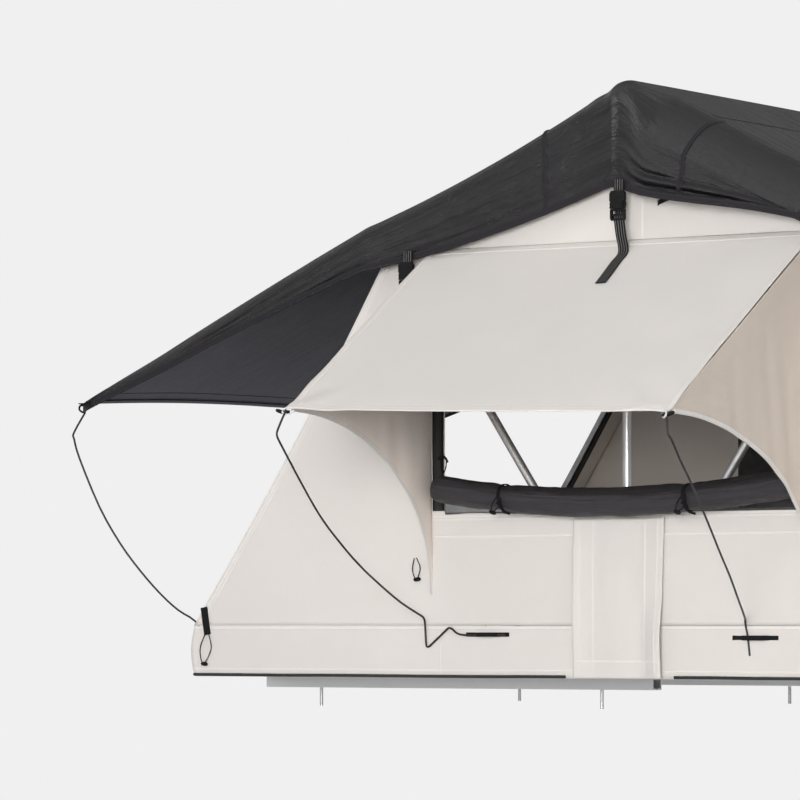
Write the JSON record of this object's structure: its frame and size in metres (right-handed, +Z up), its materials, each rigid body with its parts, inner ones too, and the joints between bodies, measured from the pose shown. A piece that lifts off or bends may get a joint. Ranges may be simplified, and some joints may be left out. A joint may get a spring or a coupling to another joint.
{
  "type": "roof top tent",
  "caption": "Soft-shell roof tent, opened: hinged floor on rails, folding bows, canvas walls, fly with end awnings, a propped side awning and a sliding ladder.",
  "frame": {"origin": "Middle of the four rail bolts, in the plane of the rails' undersides.", "axes": "X along the opened tent toward the folding half and the ladder, -Y toward the propped awning, Z up."},
  "size_m": [3.104, 2.1482, 3.5305],
  "materials": {
    "board": "matte",
    "alloy": "satin",
    "steel": "satin",
    "black_steel": "satin",
    "foam_cover": "matte",
    "canvas": "matte",
    "fly_cloth": "satin",
    "net": "matte",
    "webbing": "matte",
    "zip": "satin",
    "buckle": "satin",
    "rubber": "matte"
  },
  "bodies": {
    "base_fixed": {"floor_fixed": "board", "edge_frame_fixed": "alloy", "rail_near": "alloy", "rail_far": "alloy", "rail_bolts": "steel", "brackets_fixed": "alloy", "fold_pins": "steel", "bow_pins_fixed": "steel", "mattress_fixed": "foam_cover", "skirt_fixed": "canvas", "hem_piping_fixed": "webbing", "webbing_fixed": "webbing", "rod_near_left": "black_steel", "rod_end_left_near": "black_steel", "rod_end_left_far": "black_steel"},
    "base_folding": {"floor_folding": "board", "edge_frame_folding": "alloy", "brackets_folding": "alloy", "bow_pins_folding": "steel", "mattress_folding": "foam_cover", "skirt_folding": "canvas", "hem_piping_folding": "webbing", "webbing_folding": "webbing", "rod_near_right": "black_steel", "rod_end_right_near": "black_steel", "rod_end_right_far": "black_steel", "ladder_brackets": "alloy", "ladder_pins": "steel"},
    "bow_left": {"bow_tube_left": "alloy", "bow_feet_left": "black_steel", "fly_pole_left": "alloy", "door_roll_left": "canvas"},
    "bow_ridge": {"bow_tube_ridge": "alloy", "bow_feet_ridge": "black_steel", "fly_pole_ridge": "alloy", "side_wall_near": "canvas", "side_wall_far": "canvas", "end_wall_left": "canvas", "end_wall_right": "canvas", "roof_left": "canvas", "roof_right": "canvas", "fly_sheet": "fly_cloth", "fly_valance_near": "fly_cloth", "fly_valance_far": "fly_cloth", "window_roll": "net", "window_zips": "zip", "fold_flap_near": "canvas", "fold_flap_far": "canvas", "fly_straps": "webbing", "fly_buckles": "buckle"},
    "bow_right": {"bow_tube_right": "alloy", "bow_feet_right": "black_steel", "fly_pole_right": "alloy", "door_roll_right": "canvas"},
    "awning_near": {"awning_near": "canvas", "awning_gussets": "canvas"},
    "awning_far": {"awning_far": "canvas"},
    "ladder": {"ladder_upper": "alloy"},
    "ladder_lower": {"ladder_lower": "alloy", "ladder_feet": "rubber"}
  },
  "joints": [
    {"name": "fold", "type": "hinge", "parent": "base_fixed", "child": "base_folding", "pos_m": [0.6, 0, 0.178], "axis": [0, -1, 0], "range_deg": [0, 180], "deforming": ["side_wall_near", "side_wall_far", "end_wall_left", "end_wall_right", "roof_left", "roof_right", "fly_sheet", "fly_valance_near", "fly_valance_far", "window_roll", "window_zips", "fold_flap_near", "fold_flap_far", "fly_straps", "fly_buckles", "awning_near", "awning_gussets", "awning_far", "door_roll_left", "door_roll_right"]},
    {"name": "bow_left_turn", "type": "hinge", "parent": "base_fixed", "child": "bow_left", "pos_m": [0.565, 0, 0.148], "axis": [0, -1, 0], "range_deg": [0, 56]},
    {"name": "bow_ridge_turn", "type": "hinge", "parent": "base_fixed", "child": "bow_ridge", "pos_m": [0.6, 0, 0.178], "axis": [0, -1, 0], "range_deg": [0, 90]},
    {"name": "bow_right_turn", "type": "hinge", "parent": "base_folding", "child": "bow_right", "pos_m": [0.635, 0, 0.148], "axis": [0, 1, 0], "range_deg": [0, 56]},
    {"name": "awning_near_turn", "type": "hinge", "parent": "bow_ridge", "child": "awning_near", "pos_m": [0.6, -0.7003, 1.03007], "axis": [1, 0, 0], "range_deg": [0, 50]},
    {"name": "awning_far_turn", "type": "hinge", "parent": "bow_ridge", "child": "awning_far", "pos_m": [0.6, 0.7001, 1.03007], "axis": [-1, 0, 0], "range_deg": [-56, 0]},
    {"name": "ladder_swing", "type": "hinge", "parent": "base_folding", "child": "ladder", "pos_m": [1.745, 0, -0.02], "axis": [0, 1, 0], "range_deg": [-15, 90]},
    {"name": "ladder_slide", "type": "slide", "parent": "ladder", "child": "ladder_lower", "axis": [0, 0, 1], "range_m": [0, 0.94]}
  ],
  "couplings": [
    {"joint": "bow_left_turn", "follows": "fold", "ratio": 0.31111},
    {"joint": "bow_ridge_turn", "follows": "fold", "ratio": 0.5},
    {"joint": "bow_right_turn", "follows": "fold", "ratio": 0.31111},
    {"joint": "awning_near_turn", "follows": "fold", "ratio": 0.27778}
  ]
}
